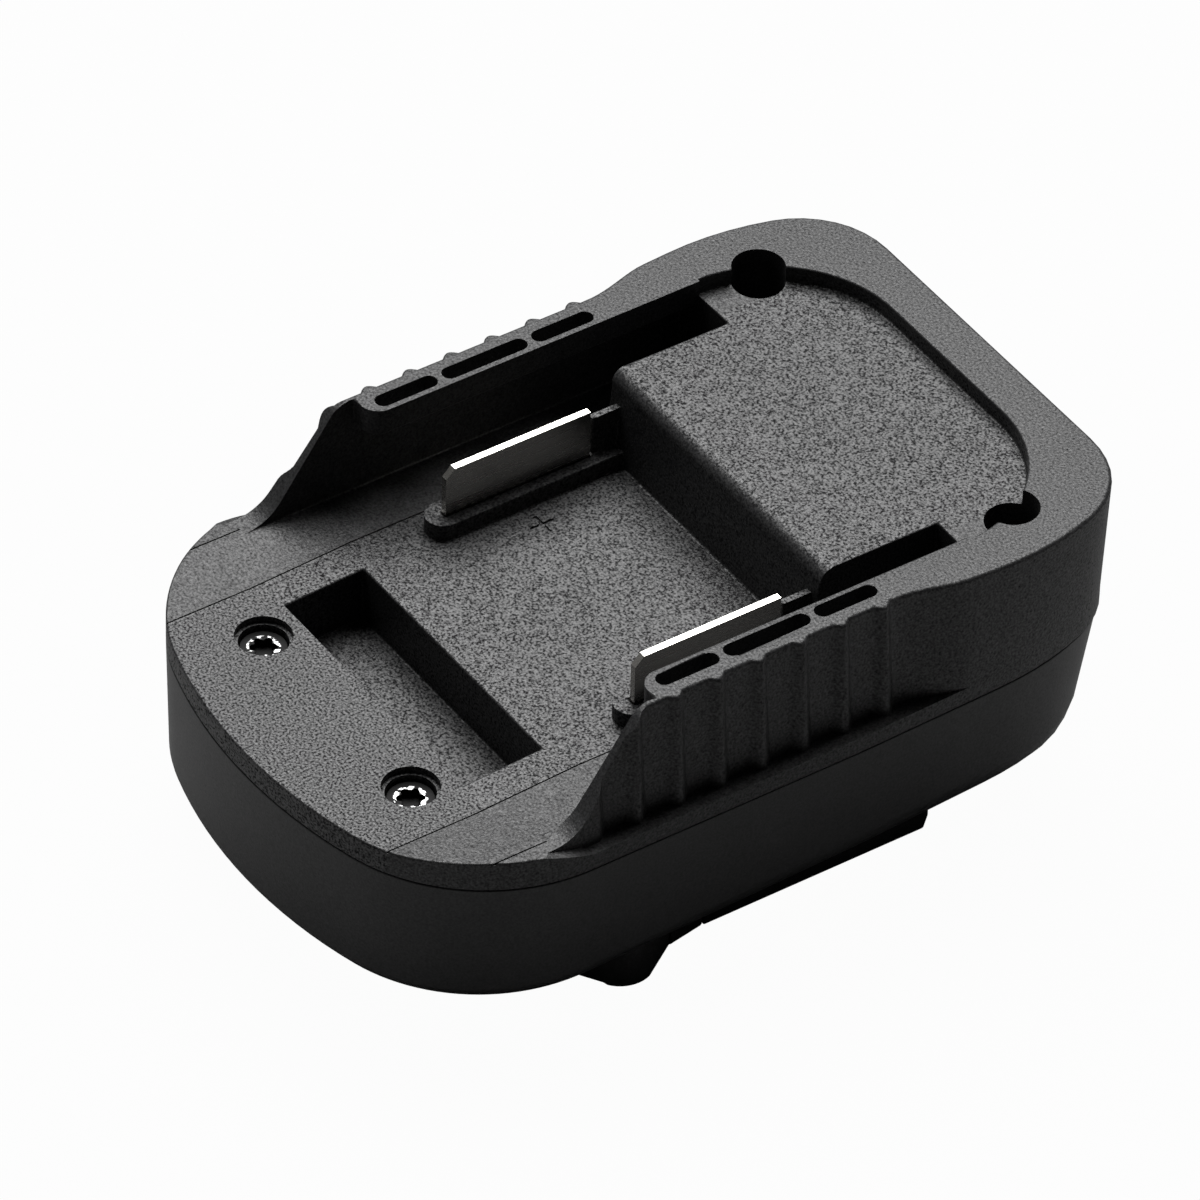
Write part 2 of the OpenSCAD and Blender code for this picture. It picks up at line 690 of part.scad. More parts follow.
// Recess inside the rim, and the round along the platform's front edge
module platform_cuts() {
    recess_y = y_rear - rim_w;
    corner = [recess_w / 2 - recess_r, recess_y - recess_r];
    translate([0, 0, z_platform])
        linear_extrude(platform_drop + over)
            union() {
                intersection() {
                    union() {
                        translate([-recess_w / 2, y_platform])
                            square([recess_w, corner.y - y_platform]);
                        translate([-corner.x, y_platform])
                            square([2 * corner.x, recess_y - y_platform]);
                        for (s = [-1, 1])
                            translate([s * corner.x, corner.y])
                                circle(recess_r);
                    }
                    translate([-half_w, y_notch])
                        square([case_w, y_rear - y_notch]);
                }
                translate([over - lip_x, y_platform - over])
                    square([lip_gap - 2 * over, y_notch - y_platform + 2 * over]);
            }
    edge = [y_platform + platform_edge_r, z_platform - platform_edge_r];
    difference() {
        block([-platform_x - over, y_platform - over, edge.y],
            [platform_x + over, edge.x, z_platform + over]);
        translate([-platform_x - 2 * over, edge.x, edge.y])
            rotate([0, 90, 0])
                cylinder(r = platform_edge_r, h = platform_w + 4 * over);
    }
}

module plus_minus() {
    z = z_floor - mark_depth;
    h = mark_depth + over;
    for (s = [-1, 1])
        translate([s * (blade_x - mark_inset), y_blade_mid, z]) {
            translate([-mark_stroke / 2, -mark_span / 2, 0])
                cube([mark_stroke, mark_span, h]);
            if (s < 0)
                translate([-mark_span / 2, -mark_stroke / 2, 0])
                    cube([mark_span, mark_stroke, h]);
        }
}

module fine_lines() {
    for (s = [-1, 1]) {
        translate([s * line_x, 0, 0])
            across(line_w, above_floor(y_platform - platform_lean, mark_depth));
        block([s * edge_line_x - line_w / 2, y_nose - over, z_floor - mark_depth],
            [s * edge_line_x + line_w / 2, y_ramp, z_floor + over]);
    }
}

module blade_base() {
    h = base_h + floor_t / 2;
    translate([blade_x, y_blade - base_reach + base_w / 2, z_floor - floor_t / 2]) {
        cylinder(r = base_w / 2, h = h);
        translate([-base_w / 2, 0, 0])
            cube([base_w, y_platform - y_blade + base_reach - base_w / 2 + over, h]);
    }
    block([blade_x - web_t / 2, y_blade_end + 3 * fit_clear, z_floor],
        [blade_x + web_t / 2, y_platform + over, z_floor + web_h]);
}

module blade_slot() {
    block([blade_x - blade_t / 2 - fit_clear, y_blade - fit_clear, z_under - over],
        [blade_x + blade_t / 2 + fit_clear, y_blade_end + fit_clear, z_floor + base_h + over]);
}

// Hollow under the bay floor and under the platform
module upper_hollow() {
    translate([0, 0, z_part - over])
        linear_extrude(z_under - z_part + over)
            polygon(case_outline(cavity_inset));
    block([-platform_x + wall_t, y_platform + wall_t, z_part],
        [platform_x - wall_t, y_rear - rim_w - wall_t, z_platform - wall_t]);
}

module upper_inside() {
    block([-pocket_w / 2 - pocket_wall, y_pocket - pocket_wall, z_pocket - pocket_wall],
        [pocket_w / 2 + pocket_wall, y_pocket + pocket_l + pocket_wall, z_deck - eps]);
    for (p = concat(FRONT_SCREWS, REAR_SCREWS))
        translate([p.x, p.y, z_boss])
            cylinder(r = boss_r + wall_t / 2, h = z_deck - z_boss - over / 2);
    for (p = RETAINER_SCREWS)
        translate([p.x, p.y, z_flange])
            cylinder(r = post_r, h = z_floor - over / 2 - z_flange);
}

module upper_screw_holes() {
    for (p = FRONT_SCREWS)
        translate([p.x, p.y, 0]) {
            translate([0, 0, z_deck - recess_step])
                cylinder(r = recess_hole_r, h = recess_step + over);
            translate([0, 0, z_seat])
                cylinder(r = head_r + hole_clear, h = head_h + head_sink);
        }
    for (p = REAR_SCREWS)
        translate([p.x, p.y, z_seat])
            cylinder(r = rear_hole_r, h = z_rim - z_seat + over);
    for (p = concat(FRONT_SCREWS, REAR_SCREWS))
        translate([p.x, p.y, z_boss - over])
            cylinder(r = shank_r + hole_clear, h = z_seat - z_boss + 2 * over);
    for (p = RETAINER_SCREWS)
        translate([p.x, p.y, z_retainer])
            cylinder(r = small_shank_r + thread_clear, h = small_shank_l + hole_clear);
}

module upper_shell() {
    color([0.13, 0.13, 0.135])
        difference() {
            union() {
                difference() {
                    upper_body();
                    upper_hollow();
                    bay_cuts();
                    platform_cuts();
                }
                upper_inside();
                both_sides()
                    blade_base();
            }
            block([-pocket_w / 2, y_pocket, z_pocket], [pocket_w / 2, y_pocket + pocket_l, z_rim]);
            upper_screw_holes();
            both_sides()
                blade_slot();
            plus_minus();
            fine_lines();
        }
}

// Lower shell
EDGE = case_outline(0);
EDGE_IN = case_outline(1) - EDGE;
function edge_r(y) = nose_edge_r + (rear_edge_r - nose_edge_r) * (y - y_nose) / case_l;
function rake_share(y) = ease((y - y_rear + rake_run) / rake_run);
function wall_slope(y) = tan(lower_draft) + (tan(rear_rake) - tan(lower_draft)) * rake_share(y);
function lower_draw(y, z) = draw(y, 0) + rear_step * rake_share(y) + wall_slope(y) * (z_part - z);

// Ring at a turn of the bottom edge, from 0 under it to 90 beside it, and the ring at a height
function edge_ring(inset, turn) = [for (i = [0:len(EDGE) - 1])
    let (r = max(edge_r(EDGE[i].y) - inset, min_edge_r))
    let (z = z_case + inset + r * (1 - cos(turn)))
    let (p = EDGE[i] + (inset + r * (1 - sin(turn)) + lower_draw(EDGE[i].y, z)) * EDGE_IN[i])
    [p.x, p.y, z]];
function side_ring(inset, z) = [for (i = [0:len(EDGE) - 1])
    let (p = EDGE[i] + (inset + lower_draw(EDGE[i].y, z)) * EDGE_IN[i])
    [p.x, p.y, z]];

module lower_body(inset) {
    loft(concat(
        [for (i = [0:fillet_steps]) edge_ring(inset, 90 * i / fillet_steps)],
        [side_ring(inset, inset > 0 ? z_part + over : z_part)]));
}

module tab_slot() {
    block([stem_x - stem_l / 2 - tab_travel - slide_clear, y_pad - stem_w / 2 - slide_clear, z_case - over],
        [stem_x + stem_l / 2 + slide_clear, y_pad + stem_w / 2 + slide_clear, z_inner + over]);
}

module tool_foot() {
    top = z_case + wall_t / 2;
    across(foot_w, [
        [y_foot, 0], [y_foot_end - foot_lead, 0], [y_foot_end, foot_lead_h],
        [y_foot_end, top], [y_foot, top]]);
}

module foot_cuts() {
    both_sides()
        block([foot_w / 2 - rail_slot_d, y_foot - over, rail_flange_t],
            [foot_w / 2 + over, y_foot_end + over, rail_flange_t + rail_slot_h]);
    block([-block_w / 2 - fit_clear, y_block_end - block_l - fit_clear, -over],
        [block_w / 2 + fit_clear, y_block_end + fit_clear, z_inner + over]);
    for (s = [-1, 1])
        block([s * clip_pitch / 2 - tool_slot_w / 2, y_block_end - over, -over],
            [s * clip_pitch / 2 + tool_slot_w / 2, y_foot_end + over, block_setback + clip_h]);
}

module lower_inside() {
    for (p = concat(FRONT_SCREWS, REAR_SCREWS))
        translate([p.x, p.y, z_inner - wall_t / 2])
            cylinder(r = boss_r, h = z_boss - z_inner + wall_t / 2);
    for (p = POSTS)
        translate([p.x, p.y, z_inner - wall_t / 2])
            cylinder(r = post_r, h = board_lift + wall_t / 2);
    spring_seat();
}

module spring_seat() {
    block([-spring_rib, y_pad - stem_w / 2, z_inner - wall_t / 2],
        [spring_rib, y_pad + stem_w / 2, z_keeper + keeper_wall_h]);
    both_sides()
        translate([spring_rib - eps, y_pad, z_spring])
            rotate([0, 90, 0])
                cylinder(r = peg_r, h = peg_l + eps);
}

module lower_holes() {
    for (p = concat(FRONT_SCREWS, REAR_SCREWS))
        translate([p.x, p.y, z_seat - shank_l - hole_clear])
            cylinder(r = shank_r + thread_clear, h = shank_l + hole_clear);
    for (p = POSTS)
        translate([p.x, p.y, z_board_top - small_shank_l - hole_clear])
            cylinder(r = small_shank_r + thread_clear, h = small_shank_l);
    for (p = BLOCK_SCREWS)
        translate([p.x, p.y, z_inner + block_flange_h - small_shank_l - hole_clear])
            cylinder(r = small_shank_r + thread_clear, h = small_shank_l);
    both_sides()
        tab_slot();
}

module lower_shell() {
    color([0.12, 0.12, 0.125])
        difference() {
            union() {
                difference() {
                    lower_body(0);
                    lower_body(wall_t);
                }
                tool_foot();
                lower_inside();
            }
            foot_cuts();
            lower_holes();
        }
}

// Contact blade with its flange below the floor and its solder tail
module blade() {
    top = z_floor + blade_h;
    translate([blade_x - blade_t / 2, 0, 0])
        rotate([90, 0, 90])
            linear_extrude(blade_t)
                polygon([
                    [y_blade, z_under - eps], [y_blade, top - blade_chamfer],
                    [y_blade + blade_chamfer, top], [y_blade_end, top], [y_blade_end, z_under - eps],
                    [y_blade_end + blade_flange_reach, z_under - eps],
                    [y_blade_end + blade_flange_reach, z_flange],
                    [y_blade_mid + blade_tail_w / 2, z_flange],
                    [y_blade_mid + blade_tail_w / 2, z_flange - blade_tail_l],
                    [y_blade_mid - blade_tail_w / 2, z_flange - blade_tail_l],
                    [y_blade_mid - blade_tail_w / 2, z_flange],
                    [y_blade - blade_flange_reach, z_flange],
                    [y_blade - blade_flange_reach, z_under - eps]]);
}

module negative_blade() {
    color([0.83, 0.81, 0.76])
        blade();
}

module positive_blade() {
    color([0.83, 0.81, 0.76])
        mirror([1, 0, 0])
            blade();
}

// Screw with a six-lobe socket, its head's seat at the origin
module lobed_screw(head_r, head_h, shank_r, shank_l, socket_r, socket_d) {
    lobe_r = socket_r * lobe_share;
    difference() {
        union() {
            cylinder(r = head_r, h = head_h);
            translate([0, 0, -shank_l])
                cylinder(r = shank_r, h = shank_l + eps);
        }
        translate([0, 0, head_h - socket_d]) {
            cylinder(r = socket_r * waist_share, h = socket_d + over);
            for (i = [0:5])
                rotate(60 * i)
                    translate([socket_r - lobe_r, 0, 0])
                        cylinder(r = lobe_r, h = socket_d + over);
        }
    }
}

module case_screw() {
    lobed_screw(head_r, head_h, shank_r, shank_l, socket_r, socket_d);
}

module small_screw() {
    lobed_screw(small_head_r, small_head_h, small_shank_r, small_shank_l,
        small_head_r * small_socket_share, small_head_h * small_socket_share);
}

module front_screws() {
    color([0.1, 0.1, 0.1])
        for (p = FRONT_SCREWS)
            translate([p.x, p.y, z_seat])
                case_screw();
}

module rear_screws() {
    color([0.1, 0.1, 0.1])
        for (p = REAR_SCREWS)
            translate([p.x, p.y, z_seat])
                case_screw();
}

module blade_retainer() {
    reach = blade_flange_reach + retainer_reach;
    slit = [blade_t / 2 + fit_clear, blade_tail_w / 2 + fit_clear, 0];
    color([0.3, 0.3, 0.32])
        difference() {
            block([-retainer_w / 2, y_blade - reach, z_retainer],
                [retainer_w / 2, y_blade_end + reach, z_flange]);
            both_sides()
                block([blade_x, y_blade_mid, z_retainer - over] - slit,
                    [blade_x, y_blade_mid, z_flange + over] + slit);
            for (p = RETAINER_SCREWS)
                translate([p.x, p.y, z_retainer - over])
                    cylinder(r = small_shank_r + hole_clear, h = retainer_t + 2 * over);
        }
}

module retainer_screws() {
    color([0.6, 0.6, 0.62])
        for (p = RETAINER_SCREWS)
            translate([p.x, p.y, z_retainer])
                rotate([180, 0, 0])
                    small_screw();
}

// Terminal block with a flange on the shell's floor and a roof over the clips
clip_top = block_setback + clip_h;
tail_slit = [clip_t / 2 + fit_clear, clip_tail_w / 2 + fit_clear, 0];
module terminal_block() {
    y0 = y_block_end - block_l;
    top = z_inner + block_flange_h;
    seat = [clip_w / 2 + fit_clear, clip_l / 2 + fit_clear, 0];
    color([0.18, 0.18, 0.19])
        difference() {
            union() {
                block([-block_w / 2, y0, block_setback], [block_w / 2, y_block_end, top]);
                block([-block_w / 2, y0 - block_flange_reach, z_inner],
                    [block_w / 2, y_block_end + block_flange_reach, top]);
            }
            for (s = [-1, 1]) {
                x = s * clip_pitch / 2;
                block([x, y_block_mid, block_setback - over] - seat, [x, y_block_mid, clip_top] + seat);
                block([x - tool_slot_w / 2, y_block_mid, block_setback - over],
                    [x + tool_slot_w / 2, y_block_end + over, clip_top]);
                block([x, y_block_mid, clip_top - over] - tail_slit,
                    [x, y_block_mid, top + over] + tail_slit);
            }
            for (p = BLOCK_SCREWS)
                translate([p.x, p.y, z_inner - over])
                    cylinder(r = small_shank_r + hole_clear, h = block_flange_h + 2 * over);
        }
}

module block_screws() {
    color([0.6, 0.6, 0.62])
        for (p = BLOCK_SCREWS)
            translate([p.x, p.y, z_inner + block_flange_h])
                small_screw();
}

// Spring clip: a bridge with two leaves that nip the tool's blade, and a tail up to the board
module clip() {
    leaf = (clip_w - tool_slot_w) / 2 - clip_t;
    block([-clip_w / 2, y_block_mid - clip_l / 2, clip_top - clip_t],
        [clip_w / 2, y_block_mid + clip_l / 2, clip_top]);
    for (s = [-1, 1])
        mirror([s < 0 ? 1 : 0, 0, 0]) {
            block([clip_w / 2 - clip_t, y_block_mid - clip_l / 2, block_setback + clip_t],
                [clip_w / 2, y_block_mid + clip_l / 2, clip_top]);
            block([clip_w / 2 - clip_t - leaf, y_block_mid - clip_l / 2, block_setback + clip_t],
                [clip_w / 2, y_block_mid + clip_l / 2, block_setback + 2 * clip_t]);
        }
    block([-clip_t / 2, y_block_mid - clip_tail_w / 2, clip_top - clip_t],
        [clip_t / 2, y_block_mid + clip_tail_w / 2, z_board_top + clip_t]);
}

module positive_clip() {
    color([0.78, 0.6, 0.3])
        translate([-clip_pitch / 2, 0, 0])
            clip();
}

module negative_clip() {
    color([0.78, 0.6, 0.3])
        translate([clip_pitch / 2, 0, 0])
            clip();
}

module circuit_board() {
    color([0.1, 0.35, 0.2])
        difference() {
            block([-board_w / 2, y_board, z_board], [board_w / 2, y_board_end, z_board_top]);
            for (p = POSTS)
                translate([p.x, p.y, z_board - over])
                    cylinder(r = small_shank_r + hole_clear, h = board_t + 2 * over);
            for (s = [-1, 1])
                block([s * clip_pitch / 2, y_block_mid, z_board - over] - tail_slit,
                    [s * clip_pitch / 2, y_block_mid, z_board_top + over] + tail_slit);
        }
}

module board_screws() {
    color([0.6, 0.6, 0.62])
        for (p = POSTS)
            translate([p.x, p.y, z_board_top])
                small_screw();
}

// Parts on the board, placed from the clips' tails and from its rear end
y_transistors = y_block_mid + clip_tail_w / 2 + over;
part_row_y = y_board_end - capacitor_r - post_rear;
module power_transistors() {
    color([0.08, 0.08, 0.08])
        for (i = [0, 1])
            translate([-clip_pitch / 2, y_transistors + i * (transistor_w + over), z_board_top])
                translate([-transistor_w / 2, 0, 0])
                    cube([transistor_w, transistor_w, transistor_h]);
}

module capacitor() {
    color([0.15, 0.2, 0.35])
        translate([clip_pitch / 2, part_row_y, z_board_top])
            cylinder(r = capacitor_r, h = capacitor_h);
}

module control_chip() {
    color([0.08, 0.08, 0.08])
        translate([-chip_w / 2, y_block_mid - chip_l / 2, z_board_top])
            cube([chip_w, chip_l, chip_h]);
}

module shunt_resistor() {
    color([0.35, 0.35, 0.36])
        translate([-shunt_w / 2, part_row_y - shunt_l / 2, z_board_top])
            cube([shunt_w, shunt_l, shunt_h]);
}

// Lead from the rear edge of a blade's tail to the board
lead_z = z_retainer - lead_r - slide_clear;
module lead() {
    start = y_blade_mid + blade_tail_w / 2;
    bend_y = y_lead - lead_bend;
    translate([blade_x, start, lead_z])
        rotate([-90, 0, 0])
            cylinder(r = lead_r, h = bend_y - start);
    translate([blade_x, bend_y, lead_z - lead_bend])
        rotate([90, 0, 90])
            rotate_extrude(angle = 90)
                translate([lead_bend, 0])
                    circle(lead_r);
    translate([blade_x, y_lead, z_board_top])
        cylinder(r = lead_r, h = lead_z - lead_bend - z_board_top);
}

module negative_lead() {
    color([0.08, 0.08, 0.08])
        lead();
}

module positive_lead() {
    color([0.7, 0.08, 0.06])
        mirror([1, 0, 0])
            lead();
}

// Release tab: finger pad, slide body, catch and stem, for the right side
stem_x = tab_inner + stem_l / 2 + slide_clear;
z_tab_top = z_case - slide_clear;
y_tab_end = y_foot - slide_clear;
module tab_outline() {
    hull() {
        translate([pad_x, y_pad])
            circle(pad_r);
        polygon([
            [tab_inner, y_pad - tab_front], [pad_x - front_setback, y_pad - tab_front],
            [pad_x - rear_setback, y_tab_end], [tab_inner, y_tab_end]]);
    }
    polygon([
        [tab_inner, y_pad], [catch_x, y_foot - catch_ahead],
        [foot_w / 2 + catch_end, y_tab_end], [tab_inner, y_tab_end]]);
}

module release_tab() {
    color([0.11, 0.11, 0.115])
        difference() {
            union() {
                translate([0, 0, tab_lift])
                    linear_extrude(z_tab_top - tab_lift)
                        tab_outline();
                block([stem_x - stem_l / 2, y_pad - stem_w / 2, z_tab_top - eps],
                    [stem_x + stem_l / 2, y_pad + stem_w / 2, z_keeper]);
            }
            translate([stem_x, y_pad, z_keeper + keeper_t - small_shank_l - hole_clear])
                cylinder(r = small_shank_r + thread_clear, h = small_shank_l);
        }
}

// Keeper: plate over the slot, with a wall for the spring
keeper_in = stem_x - stem_l / 2 - slide_clear - keeper_lap - tab_travel;
keeper_out = stem_x + stem_l / 2 + slide_clear + keeper_lap + tab_travel;
z_spring = z_keeper + keeper_wall_h / 2;
module tab_keeper() {
    half = stem_w / 2 + slide_clear + keeper_lap;
    color([0.3, 0.3, 0.32])
        difference() {
            union() {
                block([keeper_in, y_pad - half, z_keeper], [keeper_out, y_pad + half, z_keeper + keeper_t]);
                block([keeper_in, y_pad - half, z_keeper],
                    [keeper_in + keeper_wall_t, y_pad + half, z_keeper + keeper_wall_h]);
                translate([keeper_in - peg_l, y_pad, z_spring])
                    rotate([0, 90, 0])
                        cylinder(r = peg_r, h = peg_l + eps);
            }
            translate([stem_x, y_pad, z_keeper - over])
                cylinder(r = small_shank_r + hole_clear, h = keeper_t + 2 * over);
        }
}

module keeper_screw() {
    color([0.6, 0.6, 0.62])
        translate([stem_x, y_pad, z_keeper + keeper_t])
            small_screw();
}

// Spring wound along the travel between the rib and the keeper's wall
spring_ring = 6;
spring_turn_steps = 12;
module tab_spring() {
    from = spring_rib + spring_wire_r;
    span = keeper_in - spring_rib - 2 * spring_wire_r;
    steps = spring_turns * spring_turn_steps;
    rings = [for (i = [0:steps]) let (a = 360 * i / spring_turn_steps)
        [for (j = [0:spring_ring - 1]) let (b = -360 * j / spring_ring)
            let (r = spring_r + spring_wire_r * cos(b))
            [from + span * i / steps + spring_wire_r * sin(b), y_pad + r * cos(a), z_spring + r * sin(a)]]];
    color([0.7, 0.7, 0.72])
        coil(rings);
}

module right_release_tab() release_tab();
module left_release_tab() mirror([1, 0, 0]) release_tab();
module right_tab_keeper() tab_keeper();
module left_tab_keeper() mirror([1, 0, 0]) tab_keeper();
module right_keeper_screw() keeper_screw();
module left_keeper_screw() mirror([1, 0, 0]) keeper_screw();
module right_tab_spring() tab_spring();
module left_tab_spring() mirror([1, 0, 0]) tab_spring();

upper_shell();
lower_shell();
positive_blade();
negative_blade();
front_screws();
rear_screws();
blade_retainer();
retainer_screws();
terminal_block();
block_screws();
positive_clip();
negative_clip();
circuit_board();
board_screws();
power_transistors();
control_chip();
capacitor();
shunt_resistor();
positive_lead();
negative_lead();
right_release_tab();
left_release_tab();
right_tab_keeper();
left_tab_keeper();
right_keeper_screw();
left_keeper_screw();
right_tab_spring();
left_tab_spring();
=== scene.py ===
"""Looks of the battery adapter: softened mouldings, plated blades, black screws and studio light."""

import json
import math

import bmesh
import bpy
import numpy as np
from mathutils import Matrix, Vector
from mathutils.geometry import delaunay_2d_cdt


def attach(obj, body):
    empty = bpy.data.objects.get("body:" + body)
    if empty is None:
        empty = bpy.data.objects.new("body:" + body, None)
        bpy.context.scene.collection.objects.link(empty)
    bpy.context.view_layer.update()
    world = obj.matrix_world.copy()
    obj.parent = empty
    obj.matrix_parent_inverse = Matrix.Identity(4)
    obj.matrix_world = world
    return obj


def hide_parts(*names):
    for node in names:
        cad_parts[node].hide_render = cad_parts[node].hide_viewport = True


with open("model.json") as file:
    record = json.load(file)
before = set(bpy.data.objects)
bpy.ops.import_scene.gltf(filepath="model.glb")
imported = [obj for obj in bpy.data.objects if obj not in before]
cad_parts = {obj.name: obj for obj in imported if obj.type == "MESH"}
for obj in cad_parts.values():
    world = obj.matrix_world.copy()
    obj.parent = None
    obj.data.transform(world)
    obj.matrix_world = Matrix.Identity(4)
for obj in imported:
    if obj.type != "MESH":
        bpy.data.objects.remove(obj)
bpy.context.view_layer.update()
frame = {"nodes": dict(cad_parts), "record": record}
nodes = frame["nodes"]
MM = 0.001


# Softened mouldings: copies of the solids with merged corners and rounded edges

WELD, WELD_ROUNDED = 2e-6, 5e-6
NARROW = 2.4
SAME_POINT = 1e-5
INSIDE_ONLY = 1
AREA_WEIGHT = 100


def flat_width(face):
    """Twice the area over the perimeter: about the width of a long face."""
    return 2 * face.calc_area() / max(face.calc_perimeter(), 1e-9)


def split_face(bm, face):
    """Replaces a many-sided face by triangles that stay inside its outline, seen along its normal."""
    corners = list(face.verts)
    normal = face.normal.normalized()
    first = normal.orthogonal().normalized()
    second = normal.cross(first)
    flat = [Vector((v.co.dot(first), v.co.dot(second))) / MM for v in corners]
    outline = [list(range(len(flat)))]
    points, _, triangles, sources, _, _ = delaunay_2d_cdt(flat, [], outline, INSIDE_ONLY, SAME_POINT)
    height = sum(v.co.dot(normal) for v in corners) / len(corners)
    ends = []
    for p, source in zip(points, sources):
        crossing = (first * p.x + second * p.y) * MM + normal * height
        ends.append(corners[source[0]] if source else bm.verts.new(crossing))
    bm.faces.remove(face)
    for triangle in triangles:
        three = [ends[i] for i in triangle]
        if len(set(three)) == 3 and bm.faces.get(three) is None:
            bm.faces.new(three)


def softened(node, body, radius, steps=2, keep=None, flat=0.4, bend=30, crease=50):
    """A copy of a solid's mesh with coplanar triangles joined and every edge that bends by more than
    `bend` degrees rounded to `radius`, apart from edges of faces that are too narrow for it and edges
    whose middle point, in millimetres, `keep` says to leave."""
    mesh = bpy.data.meshes.new(node + "_moulding")
    bm = bmesh.new()
    bm.from_mesh(nodes[node].data)
    bmesh.ops.remove_doubles(bm, verts=bm.verts, dist=WELD)
    bmesh.ops.dissolve_limit(bm, angle_limit=math.radians(flat), verts=bm.verts, edges=bm.edges)
    narrow = {f.index for f in bm.faces if flat_width(f) < NARROW * radius}
    chosen = []
    for edge in bm.edges:
        if len(edge.link_faces) != 2 or edge.calc_face_angle() < math.radians(bend):
            continue
        if any(f.index in narrow for f in edge.link_faces):
            continue
        middle = (edge.verts[0].co + edge.verts[1].co) / 2 / MM
        if keep is None or not keep(middle):
            chosen.append(edge)
    bmesh.ops.bevel(bm, geom=chosen, offset=radius, offset_type="OFFSET", segments=steps, profile=0.5,
                    affect="EDGES", clamp_overlap=False, loop_slide=True)
    bmesh.ops.remove_doubles(bm, verts=bm.verts, dist=WELD_ROUNDED)
    bm.normal_update()
    for face in [f for f in bm.faces if len(f.verts) > 4]:
        split_face(bm, face)
    bmesh.ops.recalc_face_normals(bm, faces=bm.faces)
    for edge in bm.edges:
        edge.smooth = len(edge.link_faces) == 2 and edge.calc_face_angle() < math.radians(crease)
    for face in bm.faces:
        face.smooth = True
    bm.to_mesh(mesh)
    bm.free()
    piece = bpy.data.objects.new(node + "_moulding", mesh)
    bpy.context.scene.collection.objects.link(piece)
    weigh = piece.modifiers.new("even_shading", "WEIGHTED_NORMAL")
    weigh.keep_sharp = True
    weigh.weight = AREA_WEIGHT
    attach(piece, body)
    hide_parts(node)
    return piece


def on_flutes(p):
    """Whether a point lies on the fluted side walls, above the ledge."""
    return abs(p.x) > 31.3 and -26.6 < p.y < 29.4 and 27 < p.z < 42.5


upper = softened("upper_shell", "housing", 0.28 * MM, keep=on_flutes)
lower = softened("lower_shell", "housing", 0.22 * MM)
right_pad = softened("right_release_tab", "right_tab", 0.35 * MM)
left_pad = softened("left_release_tab", "left_tab", 0.35 * MM)


# Materials

MIDDLE_X, LINE_W = 23.2 * MM, 0.2 * MM
RIM_Z = 42 * MM
GRAIN_SIZE, GRAIN_DEPTH, SPECKLE_SIZE = 0.2 * MM, 0.1 * MM, 0.3 * MM
RING_SPAN = 3 * MM
RING = [(0.45, 0), (0.5, 1), (0.64, 1), (0.68, 0)]
HEAD_SKIN = 0.1 * MM
NOISE_MIDDLE = PLAIN_SHEEN = 0.5


def shader(name):
    """A new material with its principled shader and node tools."""
    material = bpy.data.materials.new(name)
    material.use_nodes = True
    tree = material.node_tree
    return material, tree, tree.nodes["Principled BSDF"]


def add(tree, kind, settings=None, **inputs):
    """A node with its settings and the values of its inputs, where spaces are written as _."""
    node = tree.nodes.new(kind)
    for key, value in (settings or {}).items():
        setattr(node, key, value)
    for key, value in inputs.items():
        socket = node.inputs[key.replace("_", " ")]
        if hasattr(value, "is_output"):
            tree.links.new(value, socket)
        else:
            socket.default_value = value
    return node


def ramp(tree, factor, stops):
    """A colour ramp with grey stops given as (place, value)."""
    node = tree.nodes.new("ShaderNodeValToRGB")
    while len(node.color_ramp.elements) < len(stops):
        node.color_ramp.elements.new(0.5)
    for element, (place, value) in zip(node.color_ramp.elements, stops):
        element.position = place
        element.color = (value, value, value * 1.03, 1)
    tree.links.new(factor, node.inputs["Fac"])
    return node.outputs["Color"]


def maths(tree, operation, *values, **settings):
    """The result of a sum on links and plain numbers."""
    node = add(tree, "ShaderNodeMath", {"operation": operation, **settings})
    for socket, value in zip(node.inputs, values):
        if hasattr(value, "is_output"):
            tree.links.new(value, socket)
        else:
            socket.default_value = value
    return node.outputs[0]


def spread(tree, value, low, high):
    """A factor from 0 to 1 mapped to low to high."""
    return add(tree, "ShaderNodeMapRange", Value=value, To_Min=low, To_Max=high).outputs["Result"]


